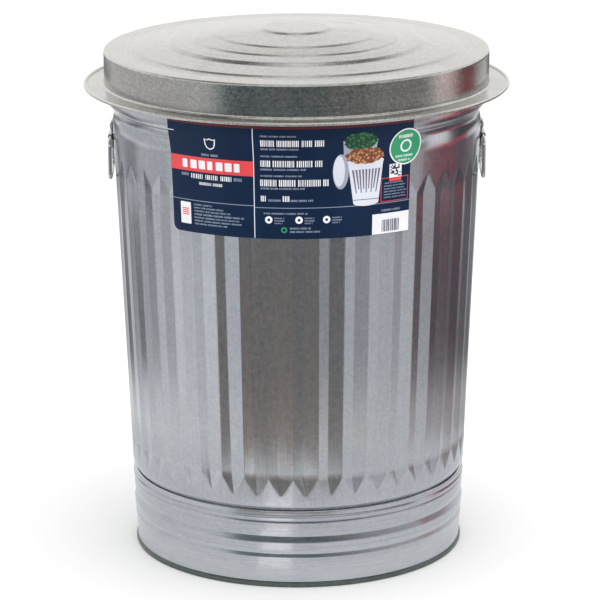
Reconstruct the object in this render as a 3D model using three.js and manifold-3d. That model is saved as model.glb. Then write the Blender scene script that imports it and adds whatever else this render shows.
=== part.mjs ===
// Round galvanised steel refuse can with a loose brimmed lid, two drop handles and a hang card.
// Millimetres, +Z up, origin on the floor at the centre of the base, front of the can towards -Y.
import * as THREE from 'three';
import { mergeVertices } from 'three/addons/utils/BufferGeometryUtils.js';
import Module from 'manifold-3d';

const wasm = await Module();
wasm.setup();

// Driving dimensions.
const SHEET = 0.6;            // steel sheet of the can and its lid
const SEAT_GAP = 0.4;         // clearance between pieces that seat on each other
const ROUND_SIDES = 48;       // sides of the turned pieces

const BASE_RADIUS = 228.4;    // plain wall of the can at BASE_LEVEL
const BASE_LEVEL = 103.5;
const TAPER = 0.04305;        // growth of the wall's radius per millimetre of height
const FOOT_HEIGHT = 7.0;
const FOOT_WIDTH = 5.9;
const FLOOR_LEVEL = 15.0;     // top of the raised floor
const SEAM_LEVEL = 93.0;      // lower edge of the fluted wall, inside the base band's top bead
const SEAM_HEIGHT = 15;
const RIB_LEVELS = [71.6, 46.8];

const FLUTES = 44;
const WALL_COLUMNS = 2 * FLUTES;
const FLUTE_DEPTH = 1.9;
const FLUTE_END_SINK = 1.5;   // how much deeper a flute gets towards its ends
const FLUTE_END_RUN = 34;
const VALLEY_SHARE = 0.4;     // where the valley lies between two ridges
const POINT_SHARE = 0.52;     // where a flute's end runs out to its point
const FLUTE_TURN = THREE.MathUtils.degToRad(-1.6);
const FLUTE_BOTTOM = 153;
const FLUTE_TOP = 531;
const LOWER_POINT = 25.4;     // length of the pointed flute ends
const UPPER_POINT = 23;

const SHOULDER_LEVEL = 588;   // where the plain cone ends below the neck
const NECK_DEPTH = 3.2;
const COLLAR_LEVEL = 624;     // lower end of the straight collar
const COLLAR_GROWTH = 5.4;    // collar radius above the cone's own radius at COLLAR_LEVEL
const RIM_BEAD = 2.6;         // radius of the rolled rim

const LID_TOP = 690;          // level of the lid's flat border
const LID_CLEARANCE = 0.6;    // rim bead to the inside of the lid's skirt
const SKIRT_HEIGHT = 45;
const LID_CORNER = 3;
const BRIM_WIDTH = 27.5;
const BRIM_DROP = 1.1;
const BRIM_BEAD = 2.2;
const DOME_RISE = 28;
// Raised rings of the lid: radius of the foot, share of the rise at the foot and at the top of the step.
const DOME_RINGS = [[221, 0.05, 0.11], [175, 0.29, 0.35], [141, 0.47, 0.53], [110, 0.66, 0.72], [50, 0.92, 0.97]];
const RING_STEP = 5;

const EAR_LEVEL = 571;        // height of the handle's pivot
const EAR_WIDTH = 34;
const EAR_HALF_HEIGHT = 19;
const EAR_SHEET = 1.3;
const WIRE = 2.5;             // radius of the handle wire
const WIRE_CLEARANCE = 0.35;
const BAIL_HALF_WIDTH = 45;
const BAIL_DROP = 52;
const BAIL_CORNER = 9;
const BAIL_END_GAP = 6;

const RIVET_SHANK = 2.0;
const RIVET_HEAD = 4.2;
const RIVET_RISE = 1.9;
const RIVET_CLEARANCE = 0.3;
const RIVET_LEVEL = 13.5;     // above and below the pivot
const RIVET_SIDE = 11;

const CARD = 0.5;             // thickness of the card label
const CARD_LEFT = -177;       // along the wall from the front line
const CARD_RIGHT = 157;
const CARD_TOP = 641;
const CARD_BOTTOM = 484.5;
const TAG_ALONG = 147;
const TAG_LEVEL = 599;
const TAG_RADIUS = 24.5;

// Sizes that follow from them.
const coneRadius = (level) => BASE_RADIUS + TAPER * (level - BASE_LEVEL);
const lowerPointLevel = FLUTE_BOTTOM - LOWER_POINT;
const upperPointLevel = FLUTE_TOP + UPPER_POINT;
const collarRadius = coneRadius(COLLAR_LEVEL) + COLLAR_GROWTH;
const rimBeadRadius = collarRadius - SHEET / 2;
const rimBeadLevel = LID_TOP - SHEET - SEAT_GAP - RIM_BEAD;
const wallTop = rimBeadLevel - RIM_BEAD - RIVET_CLEARANCE;
const skirtRadius = rimBeadRadius + RIM_BEAD + LID_CLEARANCE + SHEET;
const brimLevel = LID_TOP - SKIRT_HEIGHT;
const brimRadius = skirtRadius + BRIM_WIDTH;
const seamTop = SEAM_LEVEL + SEAM_HEIGHT;
const tuckRadius = coneRadius(SEAM_LEVEL) - 4;
const flatFactor = 1 / Math.cos(Math.PI / ROUND_SIDES);   // a turned piece's flats lie inside its corners
const bandInner = (tuckRadius + SEAT_GAP) * flatFactor;
const footRadius = bandInner + 1.1;
const floorRadius = bandInner - 1.5 - SHEET - SEAT_GAP;
const wallTilt = Math.atan(TAPER);
const pivotOut = RIVET_CLEARANCE + WIRE;

const galvanised = (color, roughness) => new THREE.MeshStandardMaterial({ color, roughness, metalness: 1 });
const printed = (color) => new THREE.MeshStandardMaterial({ color, roughness: 0.5, metalness: 0 });

function withIndex(positions, indices) {
  const geometry = new THREE.BufferGeometry();
  geometry.setAttribute('position', new THREE.Float32BufferAttribute(positions, 3));
  geometry.setIndex(indices);
  return geometry;
}

function toSolid(geometry) {
  const bare = geometry.clone();
  bare.deleteAttribute('normal');
  bare.deleteAttribute('uv');
  const merged = mergeVertices(bare, 1e-4);
  return new wasm.Manifold(new wasm.Mesh({
    numProp: 3,
    vertProperties: new Float32Array(merged.attributes.position.array),
    triVerts: new Uint32Array(merged.index.array),
  }));
}

function fromSolid(solid) {
  const mesh = solid.getMesh();
  return withIndex(Array.from(mesh.vertProperties), Array.from(mesh.triVerts));
}

function subtractAll(geometry, cutters) {
  let solid = toSolid(geometry);
  for (const cutter of cutters) {
    solid = solid.subtract(toSolid(cutter));
  }
  return fromSolid(solid);
}

// A profile of [radius, level] pairs turned about the upright axis.
function turned(profile) {
  const points = profile.map(([radius, level]) => new THREE.Vector2(radius, level));
  return new THREE.LatheGeometry(points, ROUND_SIDES).rotateX(Math.PI / 2);
}

// The line moved sideways by a distance, to the right of its direction, with mitred corners.
function offsetLine(line, distance) {
  const normals = line.slice(1).map(([x, y], i) => {
    const dx = x - line[i][0];
    const dy = y - line[i][1];
    const length = Math.hypot(dx, dy);
    return [dy / length, -dx / length];
  });
  return line.map(([x, y], i) => {
    const [ax, ay] = normals[Math.max(i - 1, 0)];
    const [bx, by] = normals[Math.min(i, normals.length - 1)];
    const reach = distance / (1 + ax * bx + ay * by);
    return [x + (ax + bx) * reach, y + (ay + by) * reach];
  });
}

// Sheet metal turned about the axis: the line is its upper or outer face, drawn from the axis or the top down.
function turnedSheet(line) {
  const under = offsetLine(line, SHEET);
  if (line[0][0] === 0) {
    under[0][0] = 0;
    return turned([...under, ...line.slice().reverse()]);
  }
  return turned([...under, ...line.slice().reverse(), under[0]]);
}

function ringBead(radius, level, bead) {
  const sides = 8;
  const profile = [];
  for (let i = 0; i <= sides; i += 1) {
    const angle = (2 * Math.PI * (i % sides)) / sides;
    profile.push([radius + bead * Math.cos(angle), level + bead * Math.sin(angle)]);
  }
  return turned(profile);
}

// Fluted wall.
function wallRows() {
  const plain = (level, radius) => ({ level, radius, depth: 0, share: POINT_SHARE });
  const fluted = (level, depth) => ({ level, radius: coneRadius(level), depth, share: VALLEY_SHARE });
  const neck = coneRadius(SHOULDER_LEVEL + 18) - NECK_DEPTH;
  const step = (COLLAR_LEVEL - SHOULDER_LEVEL) / 36;
  return [
    plain(SEAM_LEVEL, tuckRadius),
    plain(seamTop, tuckRadius),
    plain(seamTop + 3.5, coneRadius(seamTop) - 2.2),
    plain(seamTop + 8.5, coneRadius(seamTop + 8.5)),
    plain(lowerPointLevel, coneRadius(lowerPointLevel)),
    fluted(FLUTE_BOTTOM, FLUTE_DEPTH + FLUTE_END_SINK),
    fluted(FLUTE_BOTTOM + FLUTE_END_RUN, FLUTE_DEPTH),
    fluted(FLUTE_TOP - FLUTE_END_RUN, FLUTE_DEPTH),
    fluted(FLUTE_TOP, FLUTE_DEPTH + FLUTE_END_SINK),
    plain(upperPointLevel, coneRadius(upperPointLevel)),
    plain(SHOULDER_LEVEL, coneRadius(SHOULDER_LEVEL)),
    plain(SHOULDER_LEVEL + 9 * step, neck + 1.6),
    plain(SHOULDER_LEVEL + 18 * step, neck),
    plain(SHOULDER_LEVEL + 25 * step, neck + 0.15 * (collarRadius - neck)),
    plain(SHOULDER_LEVEL + 31 * step, neck + 0.7 * (collarRadius - neck)),
    plain(COLLAR_LEVEL, collarRadius),
    plain(wallTop, collarRadius),
  ];
}

function wallSkin(rows, inset) {
  const positions = [];
  for (const row of rows) {
    for (let column = 0; column < WALL_COLUMNS; column += 1) {
      const valley = column % 2 === 1;
      const turn = FLUTE_TURN + ((Math.floor(column / 2) + (valley ? row.share : 0)) * 2 * Math.PI) / FLUTES;
      const radius = row.radius - (valley ? row.depth : 0) - inset;
      positions.push(radius * Math.sin(turn), -radius * Math.cos(turn), row.level);
    }
  }
  return positions;
}

// Two triangles for each cell; the diagonal starts at a flute's point, so that its end is two flat facets.
function wallCells(rows, first, inward) {
  const indices = [];
  const face = (a, b, c) => indices.push(...(inward ? [a, c, b] : [a, b, c]));
  for (let row = 0; row + 1 < rows.length; row += 1) {
    for (let column = 0; column < WALL_COLUMNS; column += 1) {
      const next = (column + 1) % WALL_COLUMNS;
      const a = first + row * WALL_COLUMNS + column;
      const b = first + row * WALL_COLUMNS + next;
      const c = first + (row + 1) * WALL_COLUMNS + next;
      const d = first + (row + 1) * WALL_COLUMNS + column;
      const pointBelow = rows[row].depth === 0;
      const diagonalFromA = pointBelow === (column % 2 === 1);
      if (diagonalFromA) {
        face(a, b, c);
        face(a, c, d);
      } else {
        face(a, b, d);
        face(b, c, d);
      }
    }
  }
  return indices;
}

function flutedWall() {
  const rows = wallRows();
  const count = rows.length * WALL_COLUMNS;
  const positions = [...wallSkin(rows, 0), ...wallSkin(rows, SHEET)];
  const indices = [...wallCells(rows, 0, false), ...wallCells(rows, count, true)];
  const topRow = (rows.length - 1) * WALL_COLUMNS;
  for (let column = 0; column < WALL_COLUMNS; column += 1) {
    const next = (column + 1) % WALL_COLUMNS;
    const [a, b] = [column, next];
    const [c, d] = [topRow + column, topRow + next];
    indices.push(b, a, count + a, b, count + a, count + b);
    indices.push(c, d, count + d, c, count + d, count + c);
  }
  return withIndex(positions, indices);
}

// Base: ribbed band, rolled foot and raised floor.
function bandLine() {
  const seam = bandInner;
  return [
    [seam + SHEET, seamTop], [seam + 2.4, seamTop - 1], [seam + 2.5, seamTop - 6.5],
    [seam + 4.1, SEAM_LEVEL + 4.2], [seam + 3.3, SEAM_LEVEL + 0.4], [seam + 2.6, SEAM_LEVEL - 0.4],
    [seam + 2.9, SEAM_LEVEL - 4], [seam + 2.7, RIB_LEVELS[0] + 7.9], [seam + 0.9, RIB_LEVELS[0]],
    [seam + 2.3, RIB_LEVELS[0] - 9.4], [seam + 2.0, RIB_LEVELS[1] + 5.7], [seam + 0.6, RIB_LEVELS[1]],
    [seam + 1.3, RIB_LEVELS[1] - 5.4], [seam + 0.6, RIB_LEVELS[1] - 12.8], [seam - 0.6, FOOT_HEIGHT + SEAT_GAP],
  ];
}

function baseBand() {
  const line = bandLine();
  const lowerLine = offsetLine(line.slice(6), SHEET);
  const inner = [[bandInner, seamTop - 0.3], [bandInner, SEAM_LEVEL - 1.2], ...lowerLine];
  return turned([...inner, ...line.slice().reverse(), inner[0]]);
}

function footRing() {
  const outer = footRadius;
  const inner = footRadius - FOOT_WIDTH;
  return turned([
    [inner, 0], [outer - 1.4, 0], [outer, 1.4], [outer, 4.6], [outer - 1.8, FOOT_HEIGHT],
    [inner, FOOT_HEIGHT], [inner, 0],
  ]);
}

function floorPan() {
  return turnedSheet([
    [0, FLOOR_LEVEL], [floorRadius - 2.4, FLOOR_LEVEL], [floorRadius, FLOOR_LEVEL - 2.4],
    [floorRadius, FOOT_HEIGHT + SEAT_GAP],
  ]);
}

// Lid: shallow dome with raised rings, flat border, upright skirt and brim in one sheet.
function lidLine() {
  const dome = [[0, LID_TOP + DOME_RISE]];
  for (const [radius, footShare, topShare] of DOME_RINGS.slice().reverse()) {
    dome.push([radius - RING_STEP, LID_TOP + topShare * DOME_RISE], [radius, LID_TOP + footShare * DOME_RISE]);
  }
  return [
    ...dome, [DOME_RINGS[0][0] + 9, LID_TOP],
    [skirtRadius - LID_CORNER, LID_TOP], [skirtRadius - 0.3 * LID_CORNER, LID_TOP - 0.3 * LID_CORNER],
    [skirtRadius, LID_TOP - LID_CORNER], [skirtRadius, brimLevel + 2.4], [skirtRadius + 2.4, brimLevel], [brimRadius - 2 * BRIM_BEAD - RIVET_CLEARANCE, brimLevel - BRIM_DROP],
  ];
}

// Handles.
function earSection() {
  const inner = WIRE + WIRE_CLEARANCE;
  const outer = inner + EAR_SHEET;
  const back = RIVET_CLEARANCE;
  const front = back + EAR_SHEET;
  const reach = Math.asin((front - pivotOut) / outer);
  const shape = new THREE.Shape();
  shape.moveTo(back, -EAR_HALF_HEIGHT);
  shape.lineTo(front, -EAR_HALF_HEIGHT);
  shape.lineTo(front, -outer * Math.cos(reach));
  shape.absarc(pivotOut, 0, outer, reach - Math.PI / 2, Math.PI / 2 - reach, false);
  shape.lineTo(front, EAR_HALF_HEIGHT);
  shape.lineTo(back, EAR_HALF_HEIGHT);
  shape.lineTo(back, inner);
  shape.lineTo(pivotOut, inner);
  shape.absarc(pivotOut, 0, inner, Math.PI / 2, -Math.PI / 2, true);
  shape.lineTo(back, -inner);
  return shape;
}

function rivetSpots() {
  return [-1, 1].flatMap((up) => [-1, 1].map((side) => [side * RIVET_SIDE, up * RIVET_LEVEL]));
}

function rivetHole(along, up) {
  const radius = RIVET_SHANK + RIVET_CLEARANCE;
  return new THREE.CylinderGeometry(radius, radius, 30, 10).rotateZ(Math.PI / 2).translate(0, along, up);
}

function ear() {
  const plate = new THREE.ExtrudeGeometry(earSection(), { depth: EAR_WIDTH, bevelEnabled: false, curveSegments: 8 });
  plate.translate(0, 0, -EAR_WIDTH / 2).rotateX(Math.PI / 2);
  return subtractAll(plate, rivetSpots().map(([along, up]) => rivetHole(along, up)));
}

function rivet() {
  const sag = coneRadius(EAR_LEVEL) * (1 - Math.cos(RIVET_SIDE / coneRadius(EAR_LEVEL)));
  const head = 2 * RIVET_CLEARANCE + EAR_SHEET;
  const tail = -SHEET - RIVET_CLEARANCE - 2 * sag;
  const profile = [
    [0, tail - 1.3], [RIVET_HEAD - 1.2, tail - 1], [RIVET_HEAD - 0.6, tail], [RIVET_SHANK, tail],
    [RIVET_SHANK, head], [RIVET_HEAD, head], [RIVET_HEAD - 0.3, head + 0.45 * RIVET_RISE],
    [RIVET_HEAD - 1.9, head + 0.85 * RIVET_RISE], [0, head + RIVET_RISE],
  ];
  const points = profile.map(([radius, out]) => new THREE.Vector2(radius, out));
  return new THREE.LatheGeometry(points, 10).rotateZ(-Math.PI / 2);
}

function bail() {
  const path = new THREE.CurvePath();
  const end = BAIL_END_GAP / 2;
  const side = BAIL_HALF_WIDTH;
  const corners = [[end, 0], [side, 0], [side, -BAIL_DROP], [-side, -BAIL_DROP], [-side, 0], [-end, 0]];
  const at = ([along, up]) => new THREE.Vector3(0, along, up);
  let start = at(corners[0]);
  for (let i = 1; i < corners.length; i += 1) {
    const corner = at(corners[i]);
    if (i === corners.length - 1) {
      path.add(new THREE.LineCurve3(start, corner));
      break;
    }
    const before = at(corners[i - 1]).sub(corner).setLength(BAIL_CORNER).add(corner);
    const after = at(corners[i + 1]).sub(corner).setLength(BAIL_CORNER).add(corner);
    path.add(new THREE.LineCurve3(start, before));
    path.add(new THREE.QuadraticBezierCurve3(before, corner, after));
    start = after;
  }
  const section = new THREE.Shape().absarc(0, 0, WIRE, 0, 2 * Math.PI, false);
  return new THREE.ExtrudeGeometry(section, { steps: 56, curveSegments: 4, extrudePath: path, bevelEnabled: false });
}

// Card label and its round tag, wrapped around the neck and the wall below it.
function cardRadius(level) {
  const collar = collarRadius + 0.5;
  const shoulder = coneRadius(SHOULDER_LEVEL) + 0.6;
  if (level >= COLLAR_LEVEL) {
    return collar;
  }
  if (level >= SHOULDER_LEVEL) {
    return shoulder + ((collar - shoulder) * (level - SHOULDER_LEVEL)) / (COLLAR_LEVEL - SHOULDER_LEVEL);
  }
  return coneRadius(level) + 0.6;
}

function wrapped([along, level, out]) {
  const radius = cardRadius(level) + out;
  const turn = along / coneRadius(SHOULDER_LEVEL);
  return [radius * Math.sin(turn), -radius * Math.cos(turn), level];
}

// A sheet on a grid of u by v cells: place gives the along and level of each grid point.
function wrappedSheet(across, levels, place, out) {
  const positions = [];
  for (const skin of [out + CARD, out]) {
    for (let v = 0; v < levels; v += 1) {
      for (let u = 0; u <= across; u += 1) {
        positions.push(...wrapped([...place(u / across, v), skin]));
      }
    }
  }
  const width = across + 1;
  const skinSize = width * levels;
  const indices = [];
  for (let v = 0; v + 1 < levels; v += 1) {
    for (let u = 0; u < across; u += 1) {
      const a = v * width + u;
      indices.push(a, a + 1, a + width + 1, a, a + width + 1, a + width);
      const b = a + skinSize;
      indices.push(b, b + width + 1, b + 1, b, b + width, b + width + 1);
    }
  }
  const wallBetween = (a, b) => indices.push(a, a + skinSize, b + skinSize, a, b + skinSize, b);
  for (let u = 0; u < across; u += 1) {
    wallBetween(u, u + 1);
    wallBetween((levels - 1) * width + u + 1, (levels - 1) * width + u);
  }
  for (let v = 0; v + 1 < levels; v += 1) {
    wallBetween((v + 1) * width, v * width);
    wallBetween(v * width + across, (v + 1) * width + across);
  }
  return withIndex(positions, indices);
}

function cardLabel() {
  const levels = [CARD_BOTTOM, (CARD_BOTTOM + SHOULDER_LEVEL) / 2, SHOULDER_LEVEL, COLLAR_LEVEL, CARD_TOP];
  const along = (share) => CARD_LEFT + (CARD_RIGHT - CARD_LEFT) * share;
  return wrappedSheet(32, levels.length, (share, v) => [along(share), levels[v]], 0);
}

function roundTag() {
  const cells = 8;
  const place = (share, v) => {
    const s = 2 * share - 1;
    const t = (2 * v) / cells - 1;
    return [
      TAG_ALONG + TAG_RADIUS * s * Math.sqrt(1 - (t * t) / 2),
      TAG_LEVEL + TAG_RADIUS * t * Math.sqrt(1 - (s * s) / 2),
    ];
  };
  return wrappedSheet(cells, cells + 1, place, CARD + SEAT_GAP);
}

// Assembly.
const can = new THREE.Group();

function add(parent, name, geometry, material) {
  const mesh = new THREE.Mesh(geometry, material);
  mesh.name = name;
  parent.add(mesh);
  return mesh;
}

// Frame on the wall for one handle: local +X along the wall's outward normal, +Z up the wall.
function wallFrame(turn) {
  const side = new THREE.Group();
  side.rotation.z = turn;
  const seat = new THREE.Group();
  seat.position.set(coneRadius(EAR_LEVEL), 0, EAR_LEVEL);
  seat.rotation.y = wallTilt;
  side.add(seat);
  return { side, seat };
}

function wallHoles(turn) {
  const { side, seat } = wallFrame(turn);
  side.updateMatrixWorld(true);
  return rivetSpots().map(([along, up]) => rivetHole(along, up).applyMatrix4(seat.matrixWorld));
}

function addHandle(turn, name) {
  const { side, seat } = wallFrame(turn);
  can.add(side);
  add(seat, `ear_${name}`, ear(), galvanised(0x9ea1a2, 0.42));
  rivetSpots().forEach(([along, up], index) => {
    const mesh = add(seat, `rivet_${name}_${index + 1}`, rivet(), galvanised(0x8c8f90, 0.38));
    mesh.position.set(0, along, up);
  });
  const hung = add(side, `bail_${name}`, bail(), galvanised(0xa2a5a6, 0.3));
  const reach = pivotOut * Math.cos(wallTilt);
  hung.position.set(coneRadius(EAR_LEVEL) + reach, 0, EAR_LEVEL - pivotOut * Math.sin(wallTilt));
}

add(can, 'body_wall', subtractAll(flutedWall(), [...wallHoles(0), ...wallHoles(Math.PI)]), galvanised(0xb9bcbe, 0.3));
add(can, 'rim_bead', ringBead(rimBeadRadius, rimBeadLevel, RIM_BEAD), galvanised(0xb4b7b8, 0.32));
add(can, 'base_band', baseBand(), galvanised(0xb2b6b8, 0.28));
add(can, 'foot_ring', footRing(), galvanised(0x6f7674, 0.4));
add(can, 'floor_pan', floorPan(), galvanised(0xa6a9aa, 0.4));
addHandle(0, 'right');
addHandle(Math.PI, 'left');
add(can, 'lid_pan', turnedSheet(lidLine()), galvanised(0xc0c1bd, 0.35));
const brimBeadRadius = brimRadius - BRIM_BEAD;
add(can, 'lid_brim_bead', ringBead(brimBeadRadius, brimLevel - BRIM_DROP - SHEET / 2, BRIM_BEAD), galvanised(0xaeb1ae, 0.34));
add(can, 'card_label', cardLabel(), printed(0x1d2c4a));
add(can, 'round_tag', roundTag(), printed(0x1b9a5a));

export default can;
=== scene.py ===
# Galvanised refuse can: fluted wall, ribbed base, brimmed lid, drop handles, hang card.
# Sizes in the dictionaries are millimetres, the scene is in metres, Z up, front towards -Y.
import math
import random

import bmesh
import bpy
from mathutils import Matrix, Vector


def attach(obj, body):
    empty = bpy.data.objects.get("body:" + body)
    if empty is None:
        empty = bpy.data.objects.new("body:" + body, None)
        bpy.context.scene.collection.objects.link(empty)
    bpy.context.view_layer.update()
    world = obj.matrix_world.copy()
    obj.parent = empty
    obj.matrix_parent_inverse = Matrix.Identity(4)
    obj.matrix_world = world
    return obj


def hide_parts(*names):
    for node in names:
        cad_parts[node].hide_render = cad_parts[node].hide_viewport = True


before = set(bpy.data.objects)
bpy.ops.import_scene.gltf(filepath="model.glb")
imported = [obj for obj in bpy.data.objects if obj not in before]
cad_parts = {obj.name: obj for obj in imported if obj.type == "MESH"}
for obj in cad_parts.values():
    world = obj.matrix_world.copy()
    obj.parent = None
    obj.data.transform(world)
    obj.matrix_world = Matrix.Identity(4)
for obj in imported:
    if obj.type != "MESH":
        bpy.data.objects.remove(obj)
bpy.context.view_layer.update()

mm = 0.001
scene = bpy.context.scene
scene.view_settings.view_transform = "Standard"

print("stage 1: camera")

cameraView = {
    "place": (0.0, -4.340, 1.511),
    "pitch": 15.14,          # degrees below level
    "lens": 196.2,
    "sensor": 36.0,
    "shift": 0.0042,
    "roll": -0.25,
}

cameraData = bpy.data.cameras.new("canCamera")
cameraData.lens = cameraView["lens"]
cameraData.sensor_width = cameraView["sensor"]
cameraData.shift_x = cameraView["shift"]
camera = bpy.data.objects.new("canCamera", cameraData)
camera.location = cameraView["place"]
cameraTilt = Matrix.Rotation(math.radians(90 - cameraView["pitch"]), 3, "X")
cameraTurn = cameraTilt @ Matrix.Rotation(math.radians(cameraView["roll"]), 3, "Z")
camera.rotation_euler = cameraTurn.to_euler()
scene.collection.objects.link(camera)
scene.camera = camera

# Sizes that several pieces share.
can = {
    "sheet": 0.6,
    "seatGap": 0.4,
    "baseRadius": 228.4,     # plain wall at baseLevel
    "baseLevel": 103.5,
    "taper": 0.04305,
    "seamLevel": 93.0,
    "seamTop": 108.0,
    "tuckRadius": 223.95,    # wall inside the base band
    "bandInner": 224.83,
    "shoulder": 588.0,
    "collar": 624.0,
    "collarRadius": 256.2,
    "wallTop": 683.5,
    "lidTop": 690.0,
    "turnSteps": 192,
}


def coneRadius(level):
    return can["baseRadius"] + can["taper"] * (level - can["baseLevel"])


def shade(red, green, blue):
    # screen values 0 to 255 to a linear colour
    linear = [
        (v / 255) / 12.92
        if v <= 10 else ((v / 255 + 0.055) / 1.055) ** 2.4
        for v in (red, green, blue)
    ]
    return (*linear, 1.0)


def aroundPoint(radius, angle, level):
    # angle from the front, growing to the right, in radians
    return Vector((radius * math.sin(angle), -radius * math.cos(angle), level)) * mm


def roundedLine(corners, steps=5):
    # corners are (x, y) or (x, y, bend reach)
    line = []
    for i, corner in enumerate(corners):
        here = Vector(corner[:2])
        if len(corner) == 2 or i in (0, len(corners) - 1):
            line.append((here.x, here.y))
            continue
        before = Vector(corners[i - 1][:2]) - here
        after = Vector(corners[i + 1][:2]) - here
        start = here + before.normalized() * min(corner[2], before.length * 0.49)
        end = here + after.normalized() * min(corner[2], after.length * 0.49)
        for s in range(steps + 1):
            t = s / steps
            spot = start * (1 - t) ** 2 + here * (2 * t * (1 - t)) + end * t ** 2
            line.append((spot.x, spot.y))
    return line


def smoothLine(points, steps=4):
    # a curve through every point
    line = []
    for i in range(len(points) - 1):
        a, b, c, d = (Vector(points[min(max(k, 0), len(points) - 1)]) for k in (i - 1, i, i + 1, i + 2))
        for s in range(steps):
            t = s / steps
            spot = b + (c - a) * (0.5 * t) + (a * 2 - b * 5 + c * 4 - d) * (0.5 * t * t)
            spot += (b * 3 - a - c * 3 + d) * (0.5 * t ** 3)
            line.append((spot.x, spot.y))
    line.append(tuple(points[-1]))
    return line


def movedLine(line, distance):
    # the line moved to the right of its direction
    sides = []
    for (ax, ay), (bx, by) in zip(line, line[1:]):
        run = Vector((bx - ax, by - ay)).normalized()
        sides.append(Vector((run.y, -run.x)))
    moved = []
    for i, (x, y) in enumerate(line):
        a, b = sides[max(i - 1, 0)], sides[min(i, len(sides) - 1)]
        reach = distance / (1 + a.dot(b))
        moved.append((x + (a.x + b.x) * reach, y + (a.y + b.y) * reach))
    return moved


def pieceFromMesh(name, work, finish, sharpAbove=38):
    bmesh.ops.recalc_face_normals(work, faces=work.faces)
    for face in work.faces:
        face.smooth = True
    for edge in work.edges:
        if len(edge.link_faces) == 2 and edge.calc_face_angle(0) > math.radians(sharpAbove):
            edge.smooth = False
    mesh = bpy.data.meshes.new(name)
    work.to_mesh(mesh)
    work.free()
    mesh.materials.append(finish)
    piece = bpy.data.objects.new(name, mesh)
    scene.collection.objects.link(piece)
    return piece


def joinRings(work, ring, upper):
    # faces between two rings, where one of them may be a single point
    steps = max(len(ring), len(upper))
    for s in range(steps):
        n = (s + 1) % steps
        corners = [ring[s % len(ring)], ring[n % len(ring)], upper[n % len(upper)], upper[s % len(upper)]]
        work.faces.new(list(dict.fromkeys(corners)))


def turnedPiece(name, profile, finish):
    # closed profile of (radius, level) turned about the upright axis
    steps = can["turnSteps"]
    turns = [2 * math.pi * s / steps for s in range(steps)]
    work = bmesh.new()
    rings = []
    for radius, level in profile:
        if radius < 1e-6:
            rings.append([work.verts.new((0, 0, level * mm))])
        else:
            rings.append([work.verts.new(aroundPoint(radius, turn, level)) for turn in turns])
    for i, ring in enumerate(rings):
        upper = rings[(i + 1) % len(rings)]
        if len(ring) > 1 or len(upper) > 1:
            joinRings(work, ring, upper)
    return pieceFromMesh(name, work, finish)


def turnedSheet(name, line, finish):
    # the line is the outer face, drawn from the axis or the top down
    under = movedLine(line, can["sheet"])
    if line[0][0] < 1e-6:
        under[0] = (0, under[0][1])
    return turnedPiece(name, under + line[::-1], finish)


def beadProfile(radius, level, bead, sides=20):
    return [
        (radius + bead * math.cos(2 * math.pi * i / sides), level + bead * math.sin(2 * math.pi * i / sides))
        for i in range(sides)
    ]


print("stage 2: finishes")


def addNode(tree, kind, spot, inputs=None, **settings):
    node = tree.nodes.new(kind)
    node.location = (spot[0] * 200, spot[1] * 160)
    for key, value in settings.items():
        setattr(node, key, value)
    for key, value in (inputs or {}).items():
        node.inputs[key].default_value = value
    return node


def wire(source, output, target, entry):
    source.id_data.links.new(source.outputs[output], target.inputs[entry])


def newEffect(name, inputs, outputs):
    effect = bpy.data.node_groups.new(name, "ShaderNodeTree")
    for label, kind, value in inputs:
        socket = effect.interface.new_socket(label, in_out="INPUT", socket_type=kind)
        if value is not None:
            socket.default_value = value
    for label, kind in outputs:
        effect.interface.new_socket(label, in_out="OUTPUT", socket_type=kind)
    return effect, addNode(effect, "NodeGroupInput", (-5, 0)), addNode(effect, "NodeGroupOutput", (5, 0))


def zincBloomEffect():
    # crystal patches of the zinc bath with a fine matt grain over them
    effect, start, end = newEffect("zincBloom", [
        ("Vector", "NodeSocketVector", None), ("Crystals", "NodeSocketFloat", 220.0),
        ("Grain", "NodeSocketFloat", 900.0),
        ("Grain Share", "NodeSocketFloat", 0.5),
    ], [("Tone", "NodeSocketFloat"), ("Relief", "NodeSocketFloat")])
    wander = addNode(effect, "ShaderNodeTexNoise", (-4, 1), {"Scale": 60.0, "Detail": 2.0})
    push = addNode(effect, "ShaderNodeVectorMath", (-3, 1), {"Scale": 0.006}, operation="SCALE")
    bent = addNode(effect, "ShaderNodeVectorMath", (-2, 1), operation="ADD")
    crystals = addNode(effect, "ShaderNodeTexVoronoi", (-1, 1), {"Randomness": 1.0}, feature="F1")
    split = addNode(effect, "ShaderNodeSeparateColor", (0, 1))
    grain = addNode(effect, "ShaderNodeTexNoise", (-1, -1), {"Detail": 3.0, "Roughness": 0.65})
    blend = addNode(effect, "ShaderNodeMix", (2, 0), data_type="FLOAT")
    wire(start, "Vector", wander, "Vector")
    wire(wander, "Color", push, 0)
    wire(start, "Vector", bent, 0)
    wire(push, "Vector", bent, 1)
    wire(bent, "Vector", crystals, "Vector")
    wire(start, "Crystals", crystals, "Scale")
    wire(crystals, "Color", split, "Color")
    wire(start, "Vector", grain, "Vector")
    wire(start, "Grain", grain, "Scale")
    wire(start, "Grain Share", blend, "Factor")
    wire(split, "Red", blend, "A")
    wire(grain, "Fac", blend, "B")
    wire(blend, "Result", end, "Tone")
    wire(grain, "Fac", end, "Relief")
    return effect


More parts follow.
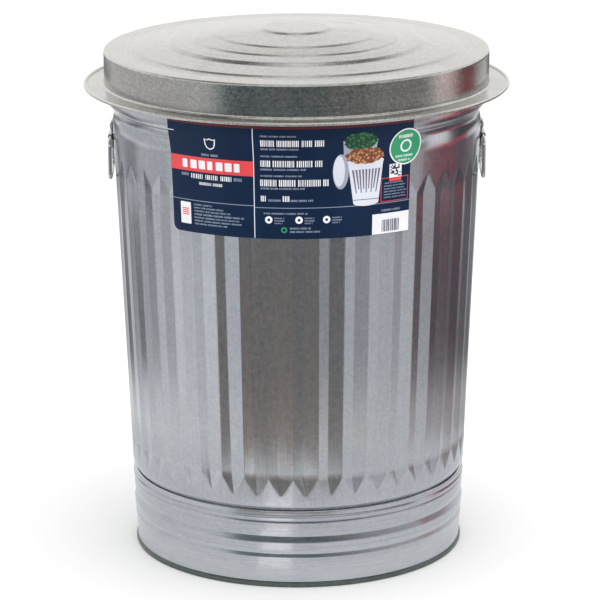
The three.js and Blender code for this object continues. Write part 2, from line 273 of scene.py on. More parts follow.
def rollLinesEffect():
    # rolling and spinning marks: noise drawn out along one direction
    effect, start, end = newEffect("rollLines", [
        ("Vector", "NodeSocketVector", None), ("Stretch", "NodeSocketVector", (1.0, 1.0, 1.0)),
        ("Fineness", "NodeSocketFloat", 400.0),
    ], [("Tone", "NodeSocketFloat")])
    drawn = addNode(effect, "ShaderNodeVectorMath", (-3, 0), operation="MULTIPLY")
    lines = addNode(effect, "ShaderNodeTexNoise", (-1, 0), {"Detail": 4.0, "Roughness": 0.6})
    level = addNode(effect, "ShaderNodeMapRange", (2, 0), {"From Min": 0.3, "From Max": 0.7})
    wire(start, "Vector", drawn, 0)
    wire(start, "Stretch", drawn, 1)
    wire(drawn, "Vector", lines, "Vector")
    wire(start, "Fineness", lines, "Scale")
    wire(lines, "Fac", level, "Value")
    wire(level, "Result", end, "Tone")
    return effect


def ringCoordinatesEffect():
    # radius and level, so that marks run round a turned piece
    effect, start, end = newEffect("ringCoordinates", [
        ("Vector", "NodeSocketVector", None), ("Drift", "NodeSocketFloat", 0.02),
    ], [("Vector", "NodeSocketVector")])
    split = addNode(effect, "ShaderNodeSeparateXYZ", (-4, 0))
    flat = addNode(effect, "ShaderNodeCombineXYZ", (-3, 1))
    radius = addNode(effect, "ShaderNodeVectorMath", (-2, 1), operation="LENGTH")
    patches = addNode(effect, "ShaderNodeTexNoise", (-3, -1), {"Scale": 5.0, "Detail": 1.0})
    drift = addNode(effect, "ShaderNodeMath", (-1, -1), operation="MULTIPLY")
    joined = addNode(effect, "ShaderNodeCombineXYZ", (2, 0))
    wire(start, "Vector", split, "Vector")
    wire(split, "X", flat, "X")
    wire(split, "Y", flat, "Y")
    wire(flat, "Vector", radius, 0)
    wire(start, "Vector", patches, "Vector")
    wire(patches, "Fac", drift, 0)
    wire(start, "Drift", drift, 1)
    wire(radius, "Value", joined, "X")
    wire(split, "Z", joined, "Y")
    wire(drift, "Value", joined, "Z")
    wire(joined, "Vector", end, "Vector")
    return effect


def handMarksEffect():
    # soft smears and a few rubbed spots from handling
    effect, start, end = newEffect("handMarks", [
        ("Vector", "NodeSocketVector", None), ("Size", "NodeSocketFloat", 14.0),
        ("Amount", "NodeSocketFloat", 0.5),
    ], [("Mask", "NodeSocketFloat")])
    smears = addNode(
        effect, "ShaderNodeTexNoise", (-3, 1), {"Detail": 5.0, "Roughness": 0.6, "Distortion": 0.6},
    )
    cut = addNode(effect, "ShaderNodeMapRange", (-1, 1), {"From Min": 0.5, "From Max": 0.75})
    amount = addNode(effect, "ShaderNodeMath", (2, 0), operation="MULTIPLY")
    wire(start, "Vector", smears, "Vector")
    wire(start, "Size", smears, "Scale")
    wire(smears, "Fac", cut, "Value")
    wire(cut, "Result", amount, 0)
    wire(start, "Amount", amount, 1)
    wire(amount, "Value", end, "Mask")
    return effect


def paperFibreEffect():
    # mottle and fibre of pressed paper, also under the ink
    effect, start, end = newEffect("paperFibre", [
        ("Vector", "NodeSocketVector", None), ("Fibre", "NodeSocketFloat", 700.0),
    ], [("Tone", "NodeSocketFloat"), ("Relief", "NodeSocketFloat")])
    cloud = addNode(effect, "ShaderNodeTexNoise", (-3, 1), {"Scale": 24.0, "Detail": 3.0})
    fibre = addNode(effect, "ShaderNodeTexNoise", (-3, -1), {"Detail": 4.0, "Roughness": 0.7})
    blend = addNode(effect, "ShaderNodeMix", (0, 0), {"Factor": 0.4}, data_type="FLOAT")
    wire(start, "Vector", cloud, "Vector")
    wire(start, "Vector", fibre, "Vector")
    wire(start, "Fibre", fibre, "Scale")
    wire(cloud, "Fac", blend, "A")
    wire(fibre, "Fac", blend, "B")
    wire(blend, "Result", end, "Tone")
    wire(fibre, "Fac", end, "Relief")
    return effect


zincBloom = zincBloomEffect()
rollLines = rollLinesEffect()
ringCoordinates = ringCoordinatesEffect()
handMarks = handMarksEffect()
paperFibre = paperFibreEffect()


def placeEffect(tree, effect, spot, **inputs):
    node = addNode(tree, "ShaderNodeGroup", spot)
    node.node_tree = effect
    for key, value in inputs.items():
        node.inputs[key].default_value = value
    return node


def zincFinish(name, look):
    material = bpy.data.materials.new(name)
    material.use_nodes = True
    tree = material.node_tree
    shader = tree.nodes["Principled BSDF"]
    shader.inputs["Metallic"].default_value = 1.0
    place = addNode(tree, "ShaderNodeTexCoord", (-9, 0))
    bloom = placeEffect(tree, zincBloom, (-6, 2), Crystals=look["crystals"], Grain=look["grain"])
    bloom.inputs["Grain Share"].default_value = look["grainShare"]
    lines = placeEffect(tree, rollLines, (-6, 0), Stretch=look["stretch"], Fineness=look["fineness"])
    marks = placeEffect(tree, handMarks, (-6, -2), Size=look["markSize"], Amount=look["marks"])
    wire(place, "Object", bloom, "Vector")
    wire(place, "Object", marks, "Vector")
    if look["linesRound"]:
        rings = placeEffect(tree, ringCoordinates, (-7, 0))
        wire(place, "Object", rings, "Vector")
        wire(rings, "Vector", lines, "Vector")
    else:
        wire(place, "Object", lines, "Vector")
    tone = addNode(tree, "ShaderNodeMix", (-4, 1), {"Factor": look["lineShare"]}, data_type="FLOAT")
    wire(bloom, "Tone", tone, "A")
    wire(lines, "Tone", tone, "B")
    colour = addNode(tree, "ShaderNodeMix", (-3, 2), data_type="RGBA")
    colour.inputs["A"].default_value = shade(*look["dark"])
    colour.inputs["B"].default_value = shade(*look["light"])
    wire(tone, "Result", colour, "Factor")
    dulled = addNode(tree, "ShaderNodeMix", (-2, 2), data_type="RGBA")
    dulled.inputs["B"].default_value = shade(*look["dull"])
    wire(marks, "Mask", dulled, "Factor")
    wire(colour, "Result", dulled, "A")
    wire(dulled, "Result", shader, "Base Color")
    sheen = addNode(
        tree, "ShaderNodeMapRange", (-3, -1),
        {"To Min": look["roughness"][0], "To Max": look["roughness"][1]},
    )
    rougher = addNode(tree, "ShaderNodeMath", (-2, -1), operation="MULTIPLY_ADD")
    rougher.inputs[1].default_value = look["markRoughness"]
    wire(tone, "Result", sheen, "Value")
    wire(marks, "Mask", rougher, 0)
    wire(sheen, "Result", rougher, 2)
    wire(rougher, "Value", shader, "Roughness")
    wave = addNode(tree, "ShaderNodeTexNoise", (-5, -4), {"Scale": look["waveScale"], "Detail": 1.0})
    wire(place, "Object", wave, "Vector")
    waves = addNode(tree, "ShaderNodeBump", (-3, -4), {"Strength": 1.0, "Distance": look["wave"] * mm})
    wire(wave, "Fac", waves, "Height")
    relief = addNode(tree, "ShaderNodeBump", (-1, -3), {"Strength": 1.0, "Distance": look["relief"] * mm})
    wire(bloom, "Relief", relief, "Height")
    wire(waves, "Normal", relief, "Normal")
    wire(relief, "Normal", shader, "Normal")
    return material


paperLook = {"fibre": 700.0, "relief": 0.02, "coatRoughness": 0.3, "specular": 0.5, "sheenSpread": 0.05}


def printedFinish(name, look):
    material = bpy.data.materials.new(name)
    material.use_nodes = True
    tree = material.node_tree
    shader = tree.nodes["Principled BSDF"]
    shader.inputs["Coat Weight"].default_value = look.get("coat", 0.0)
    shader.inputs["Coat Roughness"].default_value = paperLook["coatRoughness"]
    shader.inputs["Specular IOR Level"].default_value = look.get("specular", paperLook["specular"])
    place = addNode(tree, "ShaderNodeTexCoord", (-7, 0))
    fibre = placeEffect(tree, paperFibre, (-5, 0), Fibre=paperLook["fibre"])
    wire(place, "Object", fibre, "Vector")
    spread = addNode(tree, "ShaderNodeMapRange", (-4, 1), {"From Min": 0.3, "From Max": 0.7})
    wire(fibre, "Tone", spread, "Value")
    colour = addNode(tree, "ShaderNodeMix", (-3, 1), data_type="RGBA")
    colour.inputs["A"].default_value = shade(*look["dark"])
    colour.inputs["B"].default_value = shade(*look["light"])
    wire(spread, "Result", colour, "Factor")
    painted = colour
    if "lumps" in look:                                   # heaps in the little picture
        lumps = addNode(tree, "ShaderNodeTexVoronoi", (-5, 3), {"Scale": look["lumps"]})
        wire(place, "Object", lumps, "Vector")
        edge = addNode(tree, "ShaderNodeMapRange", (-4, 3), {"From Max": 0.55})
        wire(lumps, "Distance", edge, "Value")
        lumpy = addNode(tree, "ShaderNodeMix", (-2, 2), data_type="RGBA")
        lumpy.inputs["B"].default_value = shade(*look["gap"])
        wire(edge, "Result", lumpy, "Factor")
        wire(painted, "Result", lumpy, "A")
        painted = lumpy
    wire(painted, "Result", shader, "Base Color")
    sheen = addNode(tree, "ShaderNodeMapRange", (-3, -1), {
        "To Min": look["roughness"] - paperLook["sheenSpread"],
        "To Max": look["roughness"] + paperLook["sheenSpread"],
    })
    wire(fibre, "Tone", sheen, "Value")
    wire(sheen, "Result", shader, "Roughness")
    relief = addNode(
        tree, "ShaderNodeBump", (-2, -3), {"Strength": 1.0, "Distance": paperLook["relief"] * mm},
    )
    wire(fibre, "Relief", relief, "Height")
    wire(relief, "Normal", shader, "Normal")
    return material


zincLook = {
    "dark": (164, 167, 172), "light": (205, 208, 213), "dull": (166, 169, 173),
    "crystals": 260.0, "grain": 1100.0, "grainShare": 0.75,
    "linesRound": False, "stretch": (1.0, 1.0, 0.03), "fineness": 420.0, "lineShare": 0.2,
    "marks": 0.2, "markSize": 11.0, "markRoughness": 0.12, "roughness": (0.16, 0.27), "relief": 0.012,
    "wave": 0.35, "waveScale": 9.0,
}


def zincLike(**changes):
    return {**zincLook, **changes}


wallZinc = zincFinish("wallZinc", zincLook)
bandZinc = zincFinish(
    "bandZinc", zincLike(linesRound=True, stretch=(1.0, 1.0, 1.0), fineness=500.0, lineShare=0.4, wave=0.25),
)
lidZinc = zincFinish("lidZinc", zincLike(
    dark=(140, 139, 136), light=(208, 206, 201), dull=(160, 159, 155), crystals=420.0, grainShare=0.6,
    linesRound=True, stretch=(1.0, 1.0, 1.0), lineShare=0.2, roughness=(0.17, 0.28),
    relief=0.05, marks=0.5, wave=0.5, waveScale=7.0,
))
brimZinc = zincFinish(
    "brimZinc", zincLike(dark=(170, 171, 167), light=(214, 214, 210), roughness=(0.22, 0.34)),
)
# painted shade: the foot ring's zinc is coloured dark green-grey for the shade where the can stands on the
# floor
footZincPaintedShade = zincFinish(
    "footZincPaintedShade", zincLike(dark=(70, 80, 77), light=(118, 127, 123), dull=(64, 70, 68), roughness=(0.28, 0.42)),
)
floorZinc = zincFinish("floorZinc", zincLike(roughness=(0.3, 0.42), marks=0.8))
earZinc = zincFinish(
    "earZinc", zincLike(dark=(160, 162, 163), light=(206, 207, 207), crystals=420.0, roughness=(0.26, 0.38)),
)
wireZinc = zincFinish(
    "wireZinc", zincLike(dark=(170, 172, 173), light=(218, 219, 220), roughness=(0.16, 0.24), wave=0.05),
)
rivetZinc = zincFinish(
    "rivetZinc",
    zincLike(dark=(150, 152, 153), light=(200, 201, 201), crystals=500.0, roughness=(0.25, 0.36)),
)
rimZinc = zincFinish("rimZinc", zincLike(roughness=(0.2, 0.3)))


def newNodesTree(name, inputs):
    tree = bpy.data.node_groups.new(name, "GeometryNodeTree")
    tree.interface.new_socket("Geometry", in_out="INPUT", socket_type="NodeSocketGeometry")
    for label, kind, value in inputs:
        socket = tree.interface.new_socket(label, in_out="INPUT", socket_type=kind)
        if value is not None:
            socket.default_value = value
    tree.interface.new_socket("Geometry", in_out="OUTPUT", socket_type="NodeSocketGeometry")
    return tree, addNode(tree, "NodeGroupInput", (-6, 0)), addNode(tree, "NodeGroupOutput", (8, 0))


def finishNodes(tree, start, end, last):
    # smooth faces, sharp corners, then the material
    smooth = addNode(tree, "GeometryNodeSetShadeSmooth", (4, 0))
    angle = addNode(tree, "GeometryNodeInputMeshEdgeAngle", (3, -2))
    sharp = addNode(tree, "FunctionNodeCompare", (4, -2), data_type="FLOAT", operation="GREATER_THAN")
    edges = addNode(tree, "GeometryNodeSetShadeSmooth", (5, 0), {"Shade Smooth": False}, domain="EDGE")
    paint = addNode(tree, "GeometryNodeSetMaterial", (6, 0))
    wire(last, "Geometry", smooth, "Geometry")
    wire(angle, "Unsigned Angle", sharp, 0)
    wire(start, "Sharp Above", sharp, 1)
    wire(smooth, "Geometry", edges, "Geometry")
    wire(sharp, "Result", edges, "Selection")
    wire(edges, "Geometry", paint, "Geometry")
    wire(start, "Finish", paint, "Material")
    wire(paint, "Geometry", end, "Geometry")


def repeatAroundTree():
    tree, start, end = newNodesTree("repeatAroundAxis", [
        ("Count", "NodeSocketInt", 12), ("Weld", "NodeSocketFloat", 0.00001),
        ("Sharp Above", "NodeSocketFloat", 0.6), ("Finish", "NodeSocketMaterial", None),
    ])
    points = addNode(tree, "GeometryNodePoints", (-4, 1))
    index = addNode(tree, "GeometryNodeInputIndex", (-5, -2))
    stepTurn = addNode(tree, "ShaderNodeMath", (-4, -1), operation="DIVIDE")
    stepTurn.inputs[0].default_value = 2 * math.pi
    turn = addNode(tree, "ShaderNodeMath", (-3, -1), operation="MULTIPLY")
    spin = addNode(tree, "ShaderNodeCombineXYZ", (-2, -1))
    rotation = addNode(tree, "FunctionNodeEulerToRotation", (-1, -1))
    instances = addNode(tree, "GeometryNodeInstanceOnPoints", (0, 0))
    realize = addNode(tree, "GeometryNodeRealizeInstances", (1, 0))
    weld = addNode(tree, "GeometryNodeMergeByDistance", (2, 0))
    wire(start, "Count", points, "Count")
    wire(start, "Count", stepTurn, 1)
    wire(index, "Index", turn, 0)
    wire(stepTurn, "Value", turn, 1)
    wire(turn, "Value", spin, "Z")
    wire(spin, "Vector", rotation, "Euler")
    wire(points, "Points", instances, "Points")
    wire(start, "Geometry", instances, "Instance")
    wire(rotation, "Rotation", instances, "Rotation")
    wire(instances, "Instances", realize, "Geometry")
    wire(realize, "Geometry", weld, "Geometry")
    wire(start, "Weld", weld, "Distance")
    finishNodes(tree, start, end, weld)
    return tree


def rivetGridTree():
    tree, start, end = newNodesTree("rivetGrid", [
        ("Spacing Along", "NodeSocketFloat", 0.02), ("Spacing Up", "NodeSocketFloat", 0.02),
        ("Rows Along", "NodeSocketInt", 2), ("Rows Up", "NodeSocketInt", 2),
        ("Place", "NodeSocketVector", None), ("Turn", "NodeSocketVector", None),
        ("Sharp Above", "NodeSocketFloat", 0.6), ("Finish", "NodeSocketMaterial", None),
    ])
    grid = addNode(tree, "GeometryNodeMeshGrid", (-4, 1))
    instances = addNode(tree, "GeometryNodeInstanceOnPoints", (-2, 0))
    realize = addNode(tree, "GeometryNodeRealizeInstances", (-1, 0))
    rotation = addNode(tree, "FunctionNodeEulerToRotation", (-1, -2))
    place = addNode(tree, "GeometryNodeTransform", (1, 0))
    wire(start, "Spacing Along", grid, "Size X")
    wire(start, "Spacing Up", grid, "Size Y")
    wire(start, "Rows Along", grid, "Vertices X")
    wire(start, "Rows Up", grid, "Vertices Y")
    wire(grid, "Mesh", instances, "Points")
    wire(start, "Geometry", instances, "Instance")
    wire(instances, "Instances", realize, "Geometry")
    wire(realize, "Geometry", place, "Geometry")
    wire(start, "Turn", rotation, "Euler")
    wire(start, "Place", place, "Translation")
    wire(rotation, "Rotation", place, "Rotation")
    finishNodes(tree, start, end, place)
    return tree


def bentWireTree():
    tree, start, end = newNodesTree("bentWire", [
        ("Wire Radius", "NodeSocketFloat", 0.002), ("Bend Radius", "NodeSocketFloat", 0.01),
        ("Bend Steps", "NodeSocketInt", 12),
        ("Sides", "NodeSocketInt", 16), ("Sharp Above", "NodeSocketFloat", 0.8),
        ("Finish", "NodeSocketMaterial", None),
    ])
    curve = addNode(tree, "GeometryNodeMeshToCurve", (-4, 0))
    bends = addNode(tree, "GeometryNodeFilletCurve", (-3, 0), mode="POLY")
    section = addNode(tree, "GeometryNodeCurvePrimitiveCircle", (-3, -2))
    tube = addNode(tree, "GeometryNodeCurveToMesh", (-1, 0), {"Fill Caps": True})
    realize = addNode(tree, "GeometryNodeRealizeInstances", (1, 0))
    wire(start, "Geometry", curve, "Mesh")
    wire(curve, "Curve", bends, "Curve")
    wire(start, "Bend Radius", bends, "Radius")
    wire(start, "Bend Steps", bends, "Count")
    wire(start, "Sides", section, "Resolution")
    wire(start, "Wire Radius", section, "Radius")
    wire(bends, "Curve", tube, "Curve")
    wire(section, "Curve", tube, "Profile Curve")
    wire(tube, "Mesh", realize, "Geometry")
    finishNodes(tree, start, end, realize)
    return tree


repeatAround = repeatAroundTree()
rivetGrid = rivetGridTree()
bentWire = bentWireTree()


def growPiece(name, seed, tree, values):
    # runs a nodes tree on a small starting mesh and keeps the plain result
    starter = bpy.data.objects.new(name + "Start", seed)
    scene.collection.objects.link(starter)
    modifier = starter.modifiers.new("grow", "NODES")
    modifier.node_group = tree
    for item in tree.interface.items_tree:
        if item.item_type == "SOCKET" and item.in_out == "INPUT" and item.name in values:
            modifier[item.identifier] = values[item.name]
    bpy.context.view_layer.update()
    grown = starter.evaluated_get(bpy.context.evaluated_depsgraph_get())
    mesh = bpy.data.meshes.new_from_object(grown)
    starter.modifiers.remove(modifier)
    bpy.data.objects.remove(starter)
    mesh.name = name
    piece = bpy.data.objects.new(name, mesh)
    scene.collection.objects.link(piece)
    return piece


def settle(piece, body, slot, *nodes):
    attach(piece, body)
    if nodes:
        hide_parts(*nodes)
    return piece


print("stage 3: fluted wall")

flutes = {
    "count": 44,
    "depth": 1.9,
    "endDepth": 3.3,         # the flute sinks a little before it runs out
    "endRun": 58.0,
    "valley": 0.4,           # share of the way from one ridge to the next
    "point": 0.52,
    "turn": -1.6,            # degrees
    "bottom": 153.0,
    "top": 531.0,
    "lowerPoint": 25.4,
    "upperPoint": 23.0,
    "bend": 0.035,           # half width of a crease, share of the pitch
    "pointRows": 8,
    "bodyRows": 5,
    "endRows": 8,            # rows over which a flute sinks towards its end
    "endCurve": 1.2,
    "neckDepth": 3.2,
}


def wallRows():
    # (level, radius, fade, depth): fade 0 is a full flute, 1 its point, 2 plain wall
    rows = []
    low = flutes["bottom"] - flutes["lowerPoint"]
    high = flutes["top"] + flutes["upperPoint"]
    foot = roundedLine([
        (can["tuckRadius"], can["seamLevel"]), (can["tuckRadius"], can["seamTop"], 3.0),
        (coneRadius(can["seamTop"] + 8.5), can["seamTop"] + 8.5, 6.0), (coneRadius(low - 2), low - 2),
    ])
    deep, extra = flutes["depth"], flutes["endDepth"] - flutes["depth"]
    run, ends = flutes["endRun"], flutes["endRows"]
    rows += [(level, radius, 2, 0) for radius, level in foot]
    for i in range(flutes["pointRows"] + 1):
        share = i / flutes["pointRows"]
        level = low + flutes["lowerPoint"] * share
        rows.append((level, coneRadius(level), 1 - share, flutes["endDepth"] * share))
    for i in range(1, ends + 1):
        level = flutes["bottom"] + run * i / ends
        rows.append((level, coneRadius(level), 0, deep + extra * (1 - i / ends) ** flutes["endCurve"]))
    for i in range(1, flutes["bodyRows"]):
        level = flutes["bottom"] + run + (flutes["top"] - flutes["bottom"] - 2 * run) * i / flutes["bodyRows"]
        rows.append((level, coneRadius(level), 0, deep))
    for i in range(ends):
        level = flutes["top"] - run + run * i / ends
        rows.append((level, coneRadius(level), 0, deep + extra * (i / ends) ** flutes["endCurve"]))
    for i in range(flutes["pointRows"] + 1):
        share = i / flutes["pointRows"]
        level = flutes["top"] + flutes["upperPoint"] * share
        rows.append((level, coneRadius(level), share, flutes["endDepth"] * (1 - share)))
    neck = coneRadius(can["shoulder"] + 18) - flutes["neckDepth"]
    flare = can["collarRadius"] - neck
    plain = [
        (coneRadius(high + 2), high + 2), (coneRadius(high + 14), high + 14),
        (coneRadius(can["shoulder"] - 8), can["shoulder"] - 8),
    ]
    bends = smoothLine([
        (coneRadius(can["shoulder"] - 8), can["shoulder"] - 8),
        (coneRadius(can["shoulder"]), can["shoulder"]),
        (neck + 1.6, can["shoulder"] + 9), (neck, can["shoulder"] + 18),
        (neck + 0.15 * flare, can["shoulder"] + 25),
        (neck + 0.7 * flare, can["shoulder"] + 31), (can["collarRadius"], can["collar"]),
        (can["collarRadius"], can["collar"] + 8),
    ], 4)
    rows += [(level, radius, 2, 0) for radius, level in plain[:-1] + bends]
    rows.append((can["wallTop"], can["collarRadius"], 2, 0))
    return rows


def fluteStrip():
    pitch = 2 * math.pi / flutes["count"]
    bend, valley = flutes["bend"], flutes["valley"]
    inner = [bend, valley - bend, valley, valley + bend, 1 - bend]
    cells = len(inner) + 5

    def wallSpot(share, radius, level):
        return aroundPoint(radius, math.radians(flutes["turn"]) + share * pitch, level)

    def rowPoints(level, radius, fade, depth, inset):
        radius -= inset
        if fade == 2:
            return [wallSpot(i / cells, radius, level) for i in range(cells + 1)]
        left = flutes["point"] * fade
        right = 1 - (1 - flutes["point"]) * fade
        low = wallSpot(left + (right - left) * valley, radius - depth, level)
        leftSpot, rightSpot = wallSpot(left, radius, level), wallSpot(right, radius, level)
        points = [wallSpot(left * i / 3, radius, level) for i in range(3)]
        for share in inner:
            if share <= valley:
                points.append(leftSpot.lerp(low, share / valley))
            else:
                points.append(low.lerp(rightSpot, (share - valley) / (1 - valley)))
        points += [wallSpot(right + (1 - right) * i / 2, radius, level) for i in (0, 1, 2)]
        return points

    rows = wallRows()
    work = bmesh.new()
    skins = [
        [[work.verts.new(p) for p in rowPoints(*row, inset)] for row in rows]
        for inset in (0, can["sheet"])
    ]
    for skin, facesOut in zip(skins, (True, False)):
        for lower, upper in zip(skin, skin[1:]):
            for c in range(len(lower) - 1):
                corners = [lower[c], lower[c + 1], upper[c + 1], upper[c]]
                work.faces.new(corners if facesOut else corners[::-1])
    outer, innerSkin = skins
    for c in range(len(outer[0]) - 1):
        work.faces.new([outer[0][c + 1], outer[0][c], innerSkin[0][c], innerSkin[0][c + 1]])
        work.faces.new([outer[-1][c], outer[-1][c + 1], innerSkin[-1][c + 1], innerSkin[-1][c]])
    mesh = bpy.data.meshes.new("fluteStrip")
    work.to_mesh(mesh)
    work.free()
    return mesh


flutedWall = growPiece("flutedWall", fluteStrip(), repeatAround, {
    "Count": flutes["count"], "Weld": 0.00001, "Sharp Above": math.radians(40), "Finish": wallZinc,
})
settle(flutedWall, "can", "wall_zinc", "body_wall")

rim = {"bead": 2.6, "radius": 255.9, "level": 686.4}
rimBead = turnedPiece("rimBead", beadProfile(rim["radius"], rim["level"], rim["bead"]), rimZinc)
settle(rimBead, "can", "rim_zinc", "rim_bead")

print("stage 4: base")

base = {
    "footHeight": 7.0,
    "footWidth": 5.9,
    "footRadius": 225.93,
    "floorRadius": 222.33,
    "floorLevel": 15.0,
    # outer face of the band: distance beyond bandInner, level, bend reach
    "bandLine": [
        (0.6, 108.0), (3.0, 107.2, 1.0), (3.0, 101.4, 0.8), (4.0, 98.6, 0.8), (3.5, 94.4, 0.6),
        (2.0, 93.2, 0.4), (2.6, 91.0, 1.0),
        (2.6, 79.5, 3.0), (0.7, 71.9, 1.0), (2.9, 63.0, 1.3), (2.1, 52.5, 2.6), (0.2, 47.4, 0.8),
        (1.6, 41.8, 1.0), (0.6, 34.0, 3.0), (-0.5, 20.0, 3.0), (-0.6, 7.4),
    ],
}

bandCorners = [(can["bandInner"] + corner[0], *corner[1:]) for corner in base["bandLine"]]
bandOuter = roundedLine(bandCorners, 4)
bandLower = movedLine(roundedLine(bandCorners[6:], 4), can["sheet"])
bandProfile = [
    (can["bandInner"], can["seamTop"] - 0.3), (can["bandInner"], can["seamLevel"] - 1.2),
] + bandLower + bandOuter[::-1]
baseBand = turnedPiece("baseBand", bandProfile, bandZinc)
settle(baseBand, "can", "base_zinc", "base_band")

footOut, footIn, footHigh = base["footRadius"], base["footRadius"] - base["footWidth"], base["footHeight"]
footMiddle = (footOut + footIn) / 2
footProfile = roundedLine([
    (footMiddle, 0), (footOut, 0, 2.6), (footOut, footHigh, 2.4), (footIn, footHigh, 1.2), (footIn, 0, 1.8),
    (footMiddle, 0),
], 6)[:-1]
footCurl = turnedPiece("footCurl", footProfile, footZincPaintedShade)
settle(footCurl, "can", "foot_zinc", "foot_ring")

floorLine = roundedLine([
    (0, base["floorLevel"]), (base["floorRadius"], base["floorLevel"], 3.0),
    (base["floorRadius"], base["footHeight"] + can["seatGap"]),
])
floorPan = turnedSheet("floorPan", floorLine, floorZinc)
settle(floorPan, "can", "floor_zinc", "floor_pan")

print("stage 5: lid")

lid = {
    "skirtRadius": 259.7,
    "corner": 3.0,
    "brimLevel": 645.0,
    "brimRadius": 287.2,
    "brimDrop": 1.1,
    "brimBead": 2.2,
    "rise": 28.0,
    # raised rings: foot radius, share of the rise at the step's foot and top, bend reach, width of the step
    "rings": [
        (221, 0.05, 0.11, 2.0, 5.0), (176, 0.25, 0.37, 2.6, 9.5), (141, 0.47, 0.53, 2.0, 5.0),
        (110, 0.66, 0.72, 2.0, 5.0),
        (52, 0.89, 0.98, 2.4, 8.0),
    ],
}

lidCorners = [(0, can["lidTop"] + lid["rise"])]
for ringRadius, footShare, topShare, reach, step in lid["rings"][::-1]:
    lidCorners.append((ringRadius - step, can["lidTop"] + topShare * lid["rise"], reach))
    lidCorners.append((ringRadius, can["lidTop"] + footShare * lid["rise"], reach))
lidCorners += [
    (lid["rings"][0][0] + 9, can["lidTop"], 6.0),
    (lid["skirtRadius"], can["lidTop"], lid["corner"]),
    (lid["skirtRadius"], lid["brimLevel"], 3.4),
    (lid["brimRadius"] - 2 * lid["brimBead"] - 0.3, lid["brimLevel"] - lid["brimDrop"]),
]
lidPan = turnedSheet("lidPan", roundedLine(lidCorners, 5), lidZinc)
settle(lidPan, "lid", "lid_zinc", "lid_pan")

brimProfile = beadProfile(
    lid["brimRadius"] - lid["brimBead"], lid["brimLevel"] - lid["brimDrop"] - can["sheet"] / 2,
    lid["brimBead"],
)
lidBrimCurl = turnedPiece("lidBrimCurl", brimProfile, brimZinc)
settle(lidBrimCurl, "lid", "brim_zinc", "lid_brim_bead")

print("stage 6: handles")

handle = {
    "level": 571.0,
    "earWidth": 34.0,
    "earHalf": 19.0,
    "earSheet": 1.3,
    "earCorner": 4.0,
    "wire": 2.5,
    "wireGap": 0.35,
    "rivetGap": 0.3,
    "bailHalf": 45.0,
    "bailDrop": 52.0,
    "bailBend": 9.0,
    "bailEnds": 6.0,
    "rivetShank": 2.0,
    "rivetHead": 4.2,
    "rivetRise": 1.9,
    "rivetUp": 13.5,
    "rivetSide": 11.0,
}
pivotOut = handle["rivetGap"] + handle["wire"]
wallTilt = math.atan(can["taper"])


def wallFrame(side):
    # columns: along the wall, up the wall, out of the wall
    out = Vector((math.cos(wallTilt) * side, 0, -math.sin(wallTilt)))
    up = Vector((math.sin(wallTilt) * side, 0, math.cos(wallTilt)))
    along = up.cross(out)
    seat = Vector((coneRadius(handle["level"]) * side, 0, handle["level"])) * mm
    return Matrix((along, up, out)).transposed(), seat


def earPlate(side, name):
    turn, seat = wallFrame(side)
    half, thick = handle["earHalf"], handle["earSheet"]
    middle = handle["rivetGap"] + thick / 2
    barrel = handle["wire"] + handle["wireGap"] + thick / 2
    arc = [
        (pivotOut + barrel * math.cos(a), barrel * math.sin(a))
        for a in (math.radians(-90 + 15 * i) for i in range(13))
    ]
    line = roundedLine(
        [
            (middle, -half), (middle, -half + 0.6), (middle, -half + 4), (middle, -half + 8),
            (middle, -barrel, 1.5), (pivotOut - 0.2, -barrel),
        ],
        4,
    )
    line += arc + [(x, -y) for x, y in line[::-1]]
    front, back = movedLine(line, thick / 2), movedLine(line, -thick / 2)
    shares = [-1, -0.94, -0.5, 0, 0.5, 0.94, 1]
    work = bmesh.new()

    def skin(points):
        grid = []
        for out, up in points:
            fromEnd = max(0.0, half - abs(up))
            cut = handle["earCorner"]
            narrow = cut - math.sqrt(max(0.0, cut ** 2 - (cut - min(fromEnd, cut)) ** 2))
            width = handle["earWidth"] / 2 - narrow
            spots = [Vector((share * width, up, out)) * mm for share in shares]
            grid.append([work.verts.new(seat + turn @ spot) for spot in spots])
        return grid

    faces = [skin(front), skin(back)]
    for grid in faces:
        for lower, upper in zip(grid, grid[1:]):
            for c in range(len(shares) - 1):
                work.faces.new([lower[c], lower[c + 1], upper[c + 1], upper[c]])
    fore, aft = faces
    for c in range(len(shares) - 1):
        for row in (0, -1):
            work.faces.new([fore[row][c], fore[row][c + 1], aft[row][c + 1], aft[row][c]])
    for r in range(len(fore) - 1):
        for c in (0, -1):
            work.faces.new([fore[r][c], fore[r + 1][c], aft[r + 1][c], aft[r][c]])
    return pieceFromMesh(name, work, earZinc, 50)


def rivetMesh():
    steps = 20
    sag = coneRadius(handle["level"]) * (1 - math.cos(handle["rivetSide"] / coneRadius(handle["level"])))
    face = 2 * handle["rivetGap"] + handle["earSheet"]
    tail = -can["sheet"] - handle["rivetGap"] - 2 * sag
    shank, head, rise = handle["rivetShank"], handle["rivetHead"], handle["rivetRise"]
    profile = [
        (0, tail - 1.3), (head - 1.2, tail - 1), (head - 0.6, tail), (shank, tail), (shank, face),
        (head, face),
    ]
    profile += [
        (head * math.cos(a), face + 0.25 + (rise - 0.25) * math.sin(a))
        for a in (math.radians(15 * i) for i in range(6))
    ]
    profile.append((0, face + rise))
    work = bmesh.new()
    rings = []
    for radius, out in profile:
        turns = [2 * math.pi * s / steps for s in range(1 if radius < 1e-6 else steps)]
        spots = [Vector((radius * math.cos(turn), radius * math.sin(turn), out)) * mm for turn in turns]
        rings.append([work.verts.new(spot) for spot in spots])
    for ring, upper in zip(rings, rings[1:]):
        joinRings(work, ring, upper)
    bmesh.ops.recalc_face_normals(work, faces=work.faces)
    mesh = bpy.data.meshes.new("rivetStart")
    work.to_mesh(mesh)
    work.free()
    return mesh


